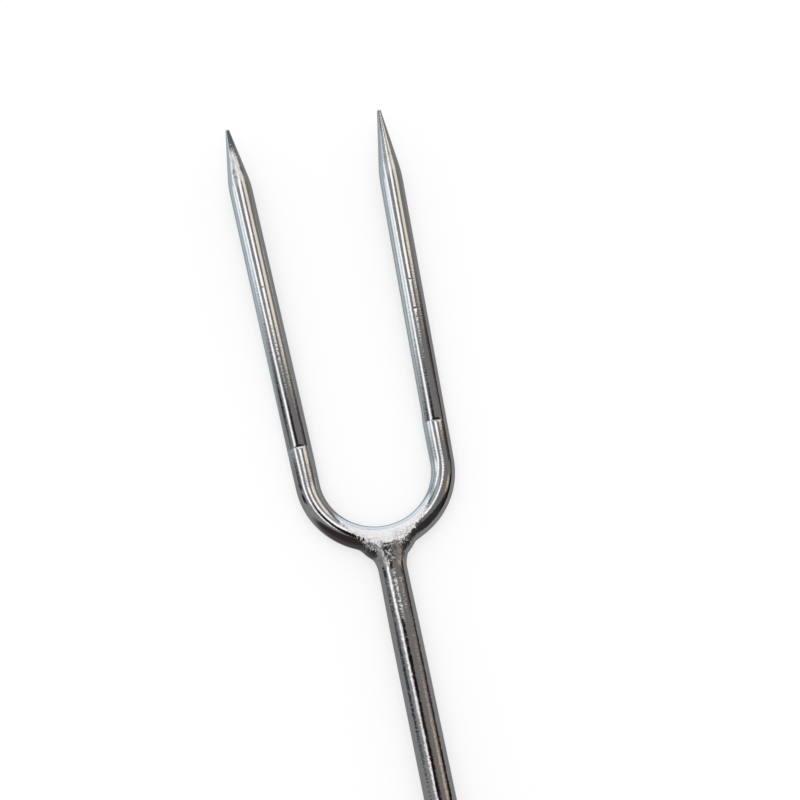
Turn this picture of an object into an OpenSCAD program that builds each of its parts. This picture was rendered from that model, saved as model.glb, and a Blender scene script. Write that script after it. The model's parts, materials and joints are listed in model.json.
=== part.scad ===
// Two-tine barbecue fork. A round rod, bent to a U and ground to two points,
// is welded to a thicker plated shaft. The shaft ends in a tang that runs
// through a turned wooden grip and is fastened behind it, under an end cap
// whose lug carries a loose hanging ring.
//
// Fork frame: +X from the grip to the tips, +Y to the left, +Z the front face.
// Its origin is the bottom of the bend, on the rod's centreline and in line
// with the shaft. The fork lies on a table, on its tines and the grip's belly.

/* [Head] */
// Diameter of the rod that the head is bent from
rod_d = 6; // [6:0.25:7]
// Diameter of the rod round the bend, drawn a little thinner by bending
bend_rod_d = 5.8; // [5.2:0.1:5.8]
// Radius of the bend, to the rod's centreline
bend_r = 16.5; // [15:0.1:18]
// How far the bend sits to the right of the shaft's line
bend_offset = 0.5; // [0:0.1:1]
// Outward lean of the left leg and tine, in degrees
lean_left = 2.1; // [1:0.1:2.8]
// Outward lean of the right leg and tine, in degrees
lean_right = 2.3; // [1:0.1:2.8]
// Distance from the bend's bottom to where the tines are bent to the front
kink_x = 25.6; // [21:0.2:34]
// Bend of the tines to the front, in degrees
lift = 5; // [1:0.5:8]
// Distance from the bend's bottom to the left tip
reach = 113.7; // [100:0.1:150]
// How much shorter the right tine is
right_shortfall = 2; // [0:0.2:6]
// Length of the left ground point
point_left = 16.5; // [12:0.5:28]
// Length of the right ground point
point_right = 18.9; // [12:0.1:28]
// Diameter left at the very end of a point
tip_d = 1.1; // [0.6:0.1:2]

/* [Press marks] */
// Depth of the notch that the die left inside the tine's bend
notch_depth = 0.3; // [0.2:0.02:0.5]
// Length of the notch along the tine
notch_len = 0.9; // [0.6:0.1:1.4]
// Turn of the notches about the tines, in degrees
notch_turn = 6; // [-20:1:20]
// Depth of the flat pressed on the right tine's inner side
flat_depth = 0.26; // [0.1:0.02:0.4]
// Run of the slope down to the flat
flat_riser = 3.2; // [2:0.2:6]
// Length over which the flat fades out up the tine
flat_fade = 60; // [30:1:70]

/* [Shaft] */
// Diameter of the shaft
shaft_d = 7; // [6.5:0.1:9]
// Length of shaft between the head and the bolster
shaft_len = 200; // [120:5:320]
// Diameter of the shaft's neck, dressed back behind the weld
neck_d = 6.8; // [6.2:0.1:7]
// Length of the dressed neck
neck_len = 14; // [8:1:80]
// How far the shaft's end laps the bend's rod
shaft_lap = 1.8; // [1:0.1:2.5]
// Diameter of the tang
tang_d = 5; // [4:0.5:6]
// Length of full shaft inside the grip
shaft_in_grip = 7; // [4:0.5:12]

/* [Weld] */
// Radius of the dressed fillet between shaft and bend
fillet_r = 7.2; // [5:0.2:9]
// Diameter of the weld's saddle over the joint
saddle_d = 6.7; // [6.4:0.05:7]
// Length of the saddle's straight part
saddle_len = 5.2; // [3:0.2:7]

/* [Bolster and ferrule] */
// Outer diameter of the bolster
bolster_d = 14; // [11:0.5:18]
// Length of the bolster
bolster_len = 5; // [3:0.5:9]
// Length of the ferrule
ferrule_len = 20; // [14:1:30]
// Outer diameter of the ferrule at its front
ferrule_front_d = 16; // [14:0.5:18]
// Outer diameter of the ferrule at its rear
ferrule_rear_d = 21.6; // [19:0.2:23]
// Wall of the ferrule
ferrule_wall = 0.8; // [0.5:0.1:1.2]
// Diameter of the bead rolled on the ferrule's rear edge
ferrule_bead_d = 1.8; // [1.2:0.1:2.4]
// Diameter of the cross pin
pin_d = 2; // [1.5:0.1:2.5]
// Distance from the ferrule's front to the cross pin
pin_x = 13; // [11:0.5:15]
// How far the pin's ends stand proud of the ferrule
pin_proud = 0.3; // [0.1:0.1:0.6]

/* [Grip] */
// Length of the wood between ferrule and end cap
grip_len = 118; // [105:1:150]
// Diameter of the grip's belly
belly_d = 31; // [27:0.5:36]
// Distance from the ferrule to the belly
belly_x = 78; // [66:1:90]
// Diameter of the grip's waist
waist_d = 22; // [20:0.5:25]
// Radius of the belly's and the waist's long curves
sweep_r = 200; // [160:5:260]
// Diameter of a turned groove's round bottom
groove_d = 1.6; // [1:0.1:2.4]
// Depth of a turned groove
groove_depth = 0.5; // [0.3:0.05:0.8]
// Distance from either end of the wood to its first groove
groove_x = 7; // [4:0.5:10]
// Distance between two grooves
groove_pitch = 3.6; // [2.8:0.1:5]

/* [Tang fastening] */
// Outer diameter of the washer
washer_d = 10; // [9:0.5:11]
// Thickness of the washer
washer_t = 1; // [0.6:0.1:1.6]
// Width of the nut across its flats
nut_af = 8; // [7:0.5:9]
// Thickness of the nut
nut_t = 4; // [3:0.5:5]
// Diameter of the recess that holds washer and nut
recess_d = 12; // [11.5:0.5:14]
// Depth of the recess, from the end of the wood
recess_depth = 10; // [8:0.5:14]

/* [End cap] */
// Outer diameter of the end cap
cap_d = 23.2; // [21:0.2:26]
// Length of the cap's skirt over the wood
skirt_len = 6; // [4:0.5:9]
// Wall of the skirt
skirt_wall = 1; // [0.6:0.1:1.5]
// Height of the cap's dome
dome_h = 8; // [6:0.5:11]
// Length of tang screwed into the cap
cap_thread = 4; // [3:0.5:5]
// Thickness of the lug
lug_t = 3.2; // [2.4:0.1:4]
// Diameter of the lug's round end
lug_d = 8; // [6.4:0.2:10]
// Distance from the dome's pole to the lug's hole
lug_reach = 4.4; // [3:0.2:7]
// Diameter of the lug's hole
lug_hole_d = 3.3; // [3:0.1:4]

/* [Hanging ring] */
// Mean diameter of the ring
ring_d = 25; // [22:0.5:34]
// Diameter of the ring's wire
ring_wire_d = 2.5; // [1.8:0.1:2.6]

/* [Fits] */
// Gap all round a pressed or screwed joint
press_gap = 0.02; // [0.01:0.01:0.04]
// Gap round the tang and in the cups
slip_gap = 0.1; // [0.05:0.05:0.2]
// Gap between the ring's far side and the table
rest_gap = 0.05; // [0.02:0.01:0.1]

/* [Hidden] */
$fn = 96;

LEFT = 1;
RIGHT = -1;
rod_r = rod_d / 2;
bend_rod_r = bend_rod_d / 2;
// The rod grows in two equal steps, from the bend to the leg and the tine
leg_r = (bend_rod_r + rod_r) / 2;
tip_r = tip_d / 2;
shaft_r = shaft_d / 2;
neck_r = neck_d / 2;
tang_r = tang_d / 2;
// Extra length of a cutting shape past the face that it cuts
past = 1;
// How far the weld's webs are sunk below the surfaces that they blend
sunk = 0.05;
web_r = bend_rod_r - sunk;
// How far each stretch of the rod runs on inside the next thicker one
lap = 0.2;

// Head, by side
function lean(side) = side == LEFT ? lean_left : lean_right;
function tip_x(side) = side == LEFT ? reach : reach - right_shortfall;
function point_len(side) = side == LEFT ? point_left : point_right;
function leg_start(side) = [bend_r * (1 - sin(lean(side))),
                            side * bend_r * cos(lean(side)) - bend_offset, 0];
function leg_way(side) = [cos(lean(side)), side * sin(lean(side)), 0];
function leg_len(side) = (kink_x - leg_start(side)[0]) / cos(lean(side));
function kink(side) = leg_start(side) + leg_len(side) * leg_way(side);
function tine_way(side) = cos(lift) * leg_way(side) + [0, 0, sin(lift)];
function tine_len(side) = (tip_x(side) - kink_x) / tine_way(side)[0];
function shoulder(side) = kink(side) + (tine_len(side) - point_len(side)) * tine_way(side);
function tip(side) = kink(side) + tine_len(side) * tine_way(side);

// Weld: centre of the fillet's round outline on each side
function fillet_y(side) = side * (neck_r - sunk + fillet_r);
function fillet_x(side) = bend_r
    - sqrt(pow(bend_r + bend_rod_r - sunk + fillet_r, 2) - pow(fillet_y(side) + bend_offset, 2));

// Places along the shaft's line, from the head to the ring
shaft_front = shaft_lap - bend_rod_r;
neck_front = min(fillet_x(LEFT), fillet_x(RIGHT)) - past;
bolster_front = -bend_rod_r - shaft_len;
ferrule_front = bolster_front - bolster_len;
wood_front = ferrule_front - ferrule_wall;
shaft_end = wood_front - shaft_in_grip;
pin_at = ferrule_front - pin_x;
grip_front = ferrule_front - ferrule_len;
grip_rear = grip_front - grip_len;
wood_rear = grip_rear - skirt_len;
recess_floor = wood_rear + recess_depth;
nut_front = recess_floor - washer_t;
tang_end = wood_rear - cap_thread;
dome_base = wood_rear;
dome_pole = dome_base - dome_h;
hole_at = dome_pole - lug_reach;
dome_r = (pow(cap_d / 2, 2) + pow(dome_h, 2)) / (2 * dome_h);

// Ferrule's outside radius at a distance behind its front
function ferrule_r(at) = (ferrule_front_d + (ferrule_rear_d - ferrule_front_d) * at / ferrule_len) / 2;
// The wood inside the ferrule is smaller by the wall and the slip gap
spigot_front_r = ferrule_r(ferrule_wall) - ferrule_wall - slip_gap;
spigot_rear_r = ferrule_r(ferrule_len) - ferrule_wall - slip_gap;

cap_spigot_r = cap_d / 2 - skirt_wall - slip_gap;

// Grip's long curves: belly and waist arcs meet without a kink
belly_r = belly_d / 2;
waist_r = waist_d / 2;
belly_at = grip_front - belly_x;
waist_at = belly_at + sqrt(pow(2 * sweep_r, 2) - pow(2 * sweep_r - (belly_r - waist_r), 2));
inflexion = (belly_at + waist_at) / 2;
function belly_curve(x) = belly_r - sweep_r + sqrt(pow(sweep_r, 2) - pow(x - belly_at, 2));
function waist_curve(x) = waist_r + sweep_r - sqrt(pow(sweep_r, 2) - pow(x - waist_at, 2));
function grip_r(x) = x < inflexion ? belly_curve(x) : waist_curve(x);
grip_steps = 60;
grip_curve = [for (i = [0 : grip_steps])
              let (x = grip_front - grip_len * i / grip_steps) [x, grip_r(x)]];
grooves = [grip_front - groove_x, grip_front - groove_x - groove_pitch,
           grip_rear + groove_x, grip_rear + groove_x + groove_pitch];

// Lying on a table: the plane that touches the rear of the tines' bends and
// the belly, as the turn about Y and the rise that bring it level
rest_x = kink_x + rod_r * tan(lift / 2);
rest_drop = belly_r - rod_r - sweep_r;
pitch = atan2(rest_drop, rest_x - belly_at)
    + asin(sweep_r / norm([rest_x - belly_at, rest_drop]));
rise = rest_x * sin(pitch) + rod_r * cos(pitch);

// Ring: its plane falls from the lug's hole to the table
ring_r = ring_d / 2;
wire_r = ring_wire_d / 2;
hole_height = rise - hole_at * sin(pitch);
ring_fall = asin((hole_height - wire_r - rest_gap) / ring_d);

// The row's origin is under the middle of the fork's box
front_end = max([for (side = [LEFT, RIGHT])
                 tip(side)[0] * cos(pitch) + tip(side)[2] * sin(pitch)]);
rear_end = hole_at * cos(pitch) - ring_d * cos(ring_fall) - wire_r;
left_side = shoulder(LEFT)[1] + rod_r * cos(lean_left);
right_side = shoulder(RIGHT)[1] - rod_r * cos(lean_right);
middle = [(front_end + rear_end) / 2, (left_side + right_side) / 2];

echo(pitch = pitch, rise = rise, ring_fall = ring_fall, middle = middle);
echo(hole_at = hole_at);
for (side = [LEFT, RIGHT])
    echo(side = side, kink = kink(side), way = tine_way(side), tine_len = tine_len(side),
         round_len = tine_len(side) - point_len(side));

// Lays what is drawn in the fork frame on the table
module lying() {
    translate([-middle[0], -middle[1], rise])
        rotate([0, pitch, 0])
            children();
}

// A solid turned about the shaft's line, from an outline in X and radius
module turned() {
    rotate([0, 90, 0])
        rotate_extrude()
            mirror([1, -1, 0])
                children();
}

// A stretch of an outline between two places, from the line out to a radius
module stretch(rear, front, radius) {
    translate([rear, 0])
        square([front - rear, radius]);
}

// A straight piece along +X from the origin
module along_x(length, r) {
    rotate([0, 90, 0])
        cylinder(h = length, r = r);
}

// A round bar bent in the fork's plane about a centre, through a sweep in degrees
module bent(centre, from, sweep, radius, r) {
    translate(centre)
        rotate([0, 0, from])
            rotate_extrude(angle = sweep)
                translate([radius, 0])
                    circle(r = r);
}

module bend() {
    bent([bend_r, -bend_offset, 0], 90 + lean_left,
         180 - lean_left - lean_right, bend_r, bend_rod_r);
}

// What a die takes off across the front: down to its depth and up again
module pressed(start, riser, fade, depth) {
    down = depth / riser;
    up = depth / (fade - riser);
    rotate([90, 0, 0])
        linear_extrude(height = 2 * rod_d, center = true)
            polygon([[start - past / down, rod_r + past],
                     [start + riser, rod_r - depth],
                     [start + fade + past / up, rod_r + past]]);
}

// The leg runs on inside the tine, past the plane that halves their bend. Its
// quarter turn keeps the seams of the two round faces apart.
module leg(side) {
    rotate([90, 0, 0])
        translate([-lap, 0, 0])
            along_x(lap + leg_len(side) + rod_r * tan(lift / 2) + lap, leg_r);
}

// The tine starts at the plane that halves its bend
module tine(side) {
    shoulder_at = tine_len(side) - point_len(side);
    difference() {
        turned()
            polygon([[-past, 0], [-past, rod_r], [shoulder_at, rod_r],
                     [tine_len(side) - tip_r, tip_r],
                     [tine_len(side), tip_r / 2], [tine_len(side), 0]]);
        rotate([0, lift / 2, 0])
            translate([-2 * rod_d, -rod_d, -rod_d])
                cube(2 * rod_d);
    }
}

// The rod grows from bend to leg to tine, each thinner one running on inside
// the next, and the die's marks are pressed in where the tines are bent
module fork_head() {
    color("silver")
        difference() {
            union() {
                bend();
                for (side = [LEFT, RIGHT]) {
                    translate(leg_start(side))
                        rotate([0, 0, side * lean(side)])
                            leg(side);
                    translate(kink(side))
                        rotate([0, -lift, side * lean(side)])
                            tine(side);
                }
            }
            for (side = [LEFT, RIGHT])
                translate(kink(side))
                    rotate([0, -lift / 2, side * lean(side)])
                        rotate([notch_turn, 0, 0])
                            pressed(-notch_len / 2, notch_len / 2, notch_len, notch_depth);
            translate(kink(RIGHT))
                rotate([0, -lift, -lean_right])
                    rotate([-90, 0, 0])
                        pressed(lap, flat_riser, flat_fade, flat_depth);
        }
}

module shaft_body() {
    turned()
        polygon([[shaft_front, 0], [shaft_front, neck_r],
                 [neck_front, neck_r], [neck_front - neck_len, shaft_r],
                 [shaft_end, shaft_r], [shaft_end, tang_r],
                 [tang_end, tang_r], [tang_end, 0]]);
}

module cross_hole(r) {
    translate([pin_at, 0, 0])
        rotate([90, 0, 0])
            cylinder(h = 2 * ferrule_rear_d, r = r, center = true);
}

module shaft() {
    color("silver")
        difference() {
            shaft_body();
            bend();
            cross_hole(pin_d / 2 + press_gap);
        }
}

// One web: a round bar along the fillet, from the shaft into the bend
module weld_web(side) {
    to_bend = atan2(-bend_offset - fillet_y(side), bend_r - fillet_x(side));
    to_shaft = -90 * side;
    bent([fillet_x(side), fillet_y(side), 0], min(to_bend, to_shaft),
         abs(to_bend - to_shaft), fillet_r + web_r, web_r);
}

module yoke_weld() {
    color("gainsboro")
        difference() {
            union() {
                weld_web(LEFT);
                weld_web(RIGHT);
                translate([shaft_front, 0, 0])
                    rotate([90, 0, 0]) {
                        cylinder(h = saddle_len, d = saddle_d, center = true);
                        for (end = [-1, 1])
                            translate([0, 0, end * saddle_len / 2])
                                sphere(d = saddle_d);
                    }
            }
            bend();
            shaft_body();
        }
}

module bolster() {
    color("silver")
        turned()
            difference() {
                union() {
                    stretch(ferrule_front, bolster_front, bolster_d / 2 - bolster_len / 4);
                    translate([ferrule_front + bolster_len / 2, bolster_d / 2 - bolster_len / 4])
                        circle(r = bolster_len / 4);
                }
                stretch(ferrule_front - past, bolster_front + past, shaft_r + press_gap);
            }
}

// The ferrule's cone, or the hollow in it, which is inset and runs out behind
module ferrule_cone(inset, behind) {
    polygon([[grip_front - behind, 0],
             [ferrule_front - inset, 0],
             [ferrule_front - inset, ferrule_r(inset) - inset],
             [grip_front, ferrule_r(ferrule_len) - inset],
             [grip_front - behind, ferrule_r(ferrule_len) - inset]]);
}

module front_ferrule() {
    color("silver")
        difference() {
            turned()
                difference() {
                    union() {
                        ferrule_cone(0, 0);
                        translate([grip_front + ferrule_bead_d / 2, ferrule_r(ferrule_len)])
                            circle(d = ferrule_bead_d);
                    }
                    ferrule_cone(ferrule_wall, past);
                    stretch(ferrule_front - past, ferrule_front + past, shaft_r + slip_gap);
                }
            cross_hole(pin_d / 2 + press_gap);
        }
}

module ferrule_pin() {
    half_span = ferrule_r(pin_x) + pin_proud;
    color("silver")
        translate([pin_at, 0, 0])
            intersection() {
                rotate([90, 0, 0])
                    cylinder(h = 2 * half_span, d = pin_d, center = true);
                sphere(r = half_span);
            }
}

module handle_grip() {
    color("saddlebrown")
        difference() {
            turned()
                difference() {
                    polygon(concat(
                        [[wood_front - slip_gap, 0], [wood_front - slip_gap, spigot_front_r],
                         [grip_front, spigot_rear_r]],
                        grip_curve,
                        [[grip_rear, cap_spigot_r], [wood_rear, cap_spigot_r], [wood_rear, 0]]));
                    for (x = grooves)
                        translate([x, grip_r(x) - groove_depth + groove_d / 2])
                            circle(d = groove_d, $fn = 32);
                    stretch(shaft_end - slip_gap, wood_front + past, shaft_r + slip_gap);
                    stretch(wood_rear - past, shaft_end, tang_r + slip_gap);
                    stretch(wood_rear - past, recess_floor, recess_d / 2);
                }
            cross_hole(pin_d / 2 + press_gap);
        }
}

module rear_washer() {
    color("gray")
        turned()
            difference() {
                stretch(nut_front, recess_floor, washer_d / 2);
                stretch(nut_front - past, recess_floor + past, tang_r + slip_gap);
            }
}

module tang_nut() {
    color("gray")
        difference() {
            translate([nut_front - nut_t, 0, 0])
                rotate([0, 90, 0])
                    cylinder(h = nut_t, d = nut_af / cos(30), $fn = 6);
            translate([nut_front - nut_t - past, 0, 0])
                along_x(nut_t + 2 * past, tang_r + press_gap);
        }
}

module end_cap() {
    color("silver")
        difference() {
            union() {
                turned() {
                    stretch(dome_base, grip_rear, cap_d / 2);
                    intersection() {
                        stretch(dome_pole - past, dome_base, cap_d / 2);
                        translate([dome_pole + dome_r, 0])
                            circle(r = dome_r);
                    }
                }
                rotate([90, 0, 0])
                    linear_extrude(height = lug_t, center = true) {
                        translate([hole_at, -lug_d / 2])
                            square([lug_reach + dome_h / 2, lug_d]);
                        translate([hole_at, 0])
                            circle(d = lug_d);
                    }
            }
            turned() {
                stretch(wood_rear - slip_gap, grip_rear + past, cap_d / 2 - skirt_wall);
                stretch(tang_end - slip_gap, wood_rear, tang_r + press_gap);
            }
            translate([hole_at, 0, 0])
                rotate([90, 0, 0])
                    cylinder(h = 2 * lug_t, d = lug_hole_d, center = true);
        }
}

// The ring is laid by its own fall from the hole, not by the fork's pitch
module hanging_ring() {
    color("silver")
        translate([hole_at, 0, 0])
            rotate([0, -pitch, 0])
                rotate([0, -ring_fall, 0])
                    translate([-ring_r, 0, 0])
                        rotate_extrude()
                            translate([ring_r, 0])
                                circle(r = wire_r);
}

lying() fork_head();
lying() yoke_weld();
lying() shaft();
lying() bolster();
lying() front_ferrule();
lying() ferrule_pin();
lying() handle_grip();
lying() rear_washer();
lying() tang_nut();
lying() end_cap();
lying() hanging_ring();
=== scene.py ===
import json
import math

import bmesh
import bpy
from mathutils import Matrix, Vector


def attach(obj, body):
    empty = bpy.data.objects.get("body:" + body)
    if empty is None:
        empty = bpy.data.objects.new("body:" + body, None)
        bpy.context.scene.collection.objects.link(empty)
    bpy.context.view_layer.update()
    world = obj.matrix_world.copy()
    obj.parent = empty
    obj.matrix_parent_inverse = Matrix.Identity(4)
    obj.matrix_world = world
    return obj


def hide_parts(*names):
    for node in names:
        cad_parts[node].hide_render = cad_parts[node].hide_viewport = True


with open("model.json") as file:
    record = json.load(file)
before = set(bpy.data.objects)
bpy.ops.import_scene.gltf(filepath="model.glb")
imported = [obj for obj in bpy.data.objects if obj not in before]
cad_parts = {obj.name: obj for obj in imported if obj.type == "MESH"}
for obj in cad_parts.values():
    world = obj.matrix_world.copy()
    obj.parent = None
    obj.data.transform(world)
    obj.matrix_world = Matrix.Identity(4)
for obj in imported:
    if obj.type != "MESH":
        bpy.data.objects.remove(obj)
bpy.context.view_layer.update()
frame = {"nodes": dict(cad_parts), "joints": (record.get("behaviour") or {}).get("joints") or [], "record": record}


# Camera
# It looks down at the head from over the shaft and is rolled, so that the shaft leans left up the
# picture. It is placed in the fork's own axes, in millimetres: +X from the grip to the tips, +Y left,
# +Z the front face, from the bottom of the bend. The fork lies pitched on the bends of its tines.
EYE = Vector((-45.9, 6.3, 234))
AIM = Vector((33.1, -10.2, 0))
SHAFT_LEAN = math.radians(11.81)
LENS = 45
SENSOR = 36
MM = 0.001
LUG_HOLE_X = -364.3
LEFT = 1
RIGHT = -1
LEAN = {LEFT: math.radians(2.1), RIGHT: math.radians(2.3)}
LIFT = math.radians(5)

ring_swing = frame["joints"][0]
tine_line = frame["record"]["mounts"][0]["axis"]
pitch = math.atan2(math.tan(LIFT), math.cos(LEAN[LEFT])) - math.atan2(tine_line[2], tine_line[0])
fork_line = Vector((math.cos(pitch), 0, -math.sin(pitch)))
bend_bottom = Vector(ring_swing["pos_m"]) - fork_line * LUG_HOLE_X * MM
fall = Matrix.Rotation(pitch, 4, "Y")
lying = Matrix.Translation(bend_bottom) @ fall @ Matrix.Scale(MM, 4)

backwards = (EYE - AIM).normalized()
picture_up = Vector((math.cos(SHAFT_LEAN), -math.sin(SHAFT_LEAN), 0))
rightwards = picture_up.cross(backwards).normalized()
turn = Matrix((rightwards, backwards.cross(rightwards), backwards)).transposed().to_4x4()
camera = bpy.data.objects.new("camera", bpy.data.cameras.new("camera"))
bpy.context.collection.objects.link(camera)
bpy.context.scene.camera = camera
camera.data.lens = LENS
camera.data.sensor_width = SENSOR
camera.data.clip_start = 0.01
camera.matrix_world = Matrix.Translation(lying @ EYE) @ fall @ turn


# Head
# One steel rod of 6 mm, bent cold to a U round a former and ground to two points on a wheel, then
# chrome plated. A press bent the tines to the front: its edge left a notch inside each bend, and its
# side a flat along the right tine.
ROD_R = 3.0
BEND_ROD_R = 2.9
BEND_R = 16.5
BEND_RIGHT_BY = 0.5
KINK_X = 25.6
REACH = {LEFT: 113.7, RIGHT: 111.7}
POINT = {LEFT: 16.5, RIGHT: 18.9}
TIP_R = 0.55
SHOULDER_BLEND = 0.35
GROUND = {LEFT: 1.0, RIGHT: 0.35}
NOTCH_DEPTH = 0.3
NOTCH_HALF = 0.45
NOTCH_TURN = math.radians(6)
FLAT_DEPTH = 0.26
FLAT_START = 0.2
FLAT_RISER = 3.2
FLAT_FADE = 60
MITRE_LEN = 1.6
STEP = 0.5
FINE_STEP = 0.09
# Nicks across the tines from use: side, distance from the bend's bottom, degrees from the front
# outwards, half width across, depth
NICKS = [
    (RIGHT, 62.2, 2, 0.4, 0.05),
    (RIGHT, 54.4, -3, 0.5, 0.06),
    (RIGHT, 52.1, 4, 0.3, 0.03),
    (LEFT, 67.3, 0, 0.5, 0.03),
    (LEFT, 48.6, 7, 0.6, 0.02),
    (LEFT, 43.7, -61, 0.3, 0.05),
]
NICK_HALF_LEN = 0.14


def smooth(low, high, value):
    """Runs smoothly from 0 at low to 1 at high."""
    t = min(max((value - low) / (high - low), 0), 1)
    return t * t * (3 - 2 * t)


def melt(first, second, blend):
    """The nearer of two distances, run together where they differ by less than the blend."""
    near = max(blend - abs(first - second), 0) / blend
    return min(first, second) - near * near * blend / 4


def walk(side):
    """Places along the rod's centreline, from the bend's bottom to a tip: the distance travelled, the
    point, the ways forward and outwards, and how far it still is to the tip and since the kink."""
    travelled, point, heading = 0.0, Vector((0, -BEND_RIGHT_BY, 0)), math.radians(90)
    since_kink = -10.0
    while True:
        lift = LIFT if since_kink >= 0 else 0.0
        along_x = max(math.cos(heading) * math.cos(lift), 0.01)
        left_over = (REACH[side] - point.x) / along_x
        forward = Vector((math.cos(heading) * math.cos(lift), side * math.sin(heading) * math.cos(lift),
                          math.sin(lift)))
        outwards = Vector((-math.sin(heading), side * math.cos(heading), 0))
        yield travelled, point.copy(), forward, outwards, left_over, since_kink
        if left_over < 0.001:
            return
        near_nick = any(nick[0] == side and abs(nick[1] - point.x) < 0.6 for nick in NICKS)
        fine = left_over < 1.5 or near_nick or abs(point.x - KINK_X) < 0.75
        step = min(FINE_STEP if fine else STEP, left_over)
        to_kink = (KINK_X - point.x) / along_x
        if since_kink < 0 and to_kink < 5:
            step = min(step, to_kink)
            since_kink = step - to_kink if step < to_kink - 1e-6 else 0.0
        elif since_kink >= 0:
            since_kink += step
        turned_by = min(step / BEND_R, max(heading - LEAN[side], 0))
        middle = heading - turned_by / 2
        point += step * Vector((math.cos(middle) * math.cos(lift), side * math.sin(middle) * math.cos(lift),
                                math.sin(lift)))
        heading -= turned_by
        travelled += step


def head_radius(side, point, to_tip, angle):
    """Radius of the head's rod at a place, less what the wheel or a knock took off."""
    radius = BEND_ROD_R + (ROD_R - BEND_ROD_R) * smooth(14, 24, point.x)
    cone = TIP_R + (ROD_R - TIP_R) * (to_tip - TIP_R) / (POINT[side] - TIP_R)
    radius = melt(radius, cone, SHOULDER_BLEND)
    if to_tip < TIP_R:
        radius = math.sqrt(max(TIP_R ** 2 - (TIP_R - to_tip) ** 2, 0.0004))
    for nick_side, nick_x, nick_turn, half_width, depth in NICKS:
        along = (point.x - nick_x) / NICK_HALF_LEN
        across = ROD_R * (math.radians(90 - nick_turn) - angle) / half_width
        if side == nick_side and abs(along) < 3 and abs(across) < 3:
            radius -= depth * math.exp(-along ** 2 - across ** 2)
    return radius


def flattened(section, side, since_kink):
    """A point of the right tine's section, outwards and up, after the press has flattened its inside."""
    run = since_kink - FLAT_START
    if side == LEFT or not 0 < run < FLAT_FADE:
        return section
    left = run / FLAT_RISER if run < FLAT_RISER else (FLAT_FADE - run) / (FLAT_FADE - FLAT_RISER)
    return Vector((max(section.x, FLAT_DEPTH * left - ROD_R), section.y))


def notched(place, side):
    """A place on the rod, from where it is bent, after the press's edge has cut its notch there."""
    leg = Vector((math.cos(LEAN[side]), side * math.sin(LEAN[side]), 0))
    halving = (leg + math.tan(LIFT / 2) * Vector((0, 0, 1))).normalized()
    sideways = Vector((0, 0, 1)).cross(leg)
    facing = math.cos(NOTCH_TURN) * halving.cross(sideways) - math.sin(NOTCH_TURN) * sideways
    run = abs(place.dot(halving)) / NOTCH_HALF
    proud = place.dot(facing) - ROD_R + NOTCH_DEPTH * (1 - run)
    return place - facing * proud if run < 1 and proud > 0 else place


def ring_on(bm, ring):
    """Draws a ring of points on to its next one."""
    members = set(ring)
    edges = {edge for vert in ring for edge in vert.link_edges if edge.other_vert(vert) in members}
    drawn = bmesh.ops.extrude_edge_only(bm, edges=list(edges))["geom"]
    return [item for item in drawn if isinstance(item, bmesh.types.BMVert)]


def finished(name, bm, sharp=None):
    """Lays a mesh drawn in the fork's axes on the table, and keeps where it was drawn for finishes."""
    bmesh.ops.recalc_face_normals(bm, faces=bm.faces)
    drawn = bm.verts.layers.float_vector.get("drawn")
    if drawn is None:
        drawn = bm.verts.layers.float_vector.new("drawn")
        for vert in bm.verts:
            vert[drawn] = vert.co
    bm.transform(lying)
    mesh = bpy.data.meshes.new(name)
    bm.to_mesh(mesh)
    bm.free()
    mesh.shade_smooth()
    if sharp:
        mesh.set_sharp_from_angle(angle=sharp)
    piece = bpy.data.objects.new(name, mesh)
    bpy.context.collection.objects.link(piece)
    return piece


def bent_rod():
    """The head's rod, drawn ring by ring both ways from the bend's bottom."""
    bm = bmesh.new()
    drawn = bm.verts.layers.float_vector.new("drawn")
    ground = bm.verts.layers.float.new("ground")
    angle_of = bm.verts.layers.float.new("angle")
    first = bmesh.ops.create_circle(bm, segments=128, radius=BEND_ROD_R)["verts"]
    for vert in first:
        vert[angle_of] = math.atan2(vert.co.y, vert.co.x)
    for side in (LEFT, RIGHT):
        ring = first
        for travelled, point, forward, outwards, to_tip, since_kink in walk(side):
            if travelled > 0:
                ring = ring_on(bm, ring)
            upwards = side * forward.cross(outwards)
            to_mitre = max(1 - abs(since_kink) / MITRE_LEN, 0) * math.tan(LIFT / 2)
            for vert in ring:
                radius = head_radius(side, point, to_tip, vert[angle_of])
                section = radius * Vector((math.cos(vert[angle_of]), math.sin(vert[angle_of])))
                section = flattened(section, side, since_kink)
                lead = section.y * to_mitre * (1 if since_kink >= 0 else -1)
                vert.co = point + outwards * section.x + upwards * section.y + forward * lead
                if to_mitre:
                    kink = point - forward * since_kink
                    vert.co = kink + notched(vert.co - kink, side)
                vert[drawn] = Vector((side * travelled, *section))
                turned = math.degrees(vert[angle_of])
                vert[ground] = (smooth(POINT[side] + 0.8, POINT[side] - 0.8, to_tip) * smooth(5, 9, to_tip)
                                * smooth(45, 70, turned) * smooth(135, 108, turned) * GROUND[side])
        bmesh.ops.pointmerge(bm, verts=ring, merge_co=point)
    return finished("head_rod", bm)


head = bent_rod()
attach(head, "fork")
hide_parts("fork_head")


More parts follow.
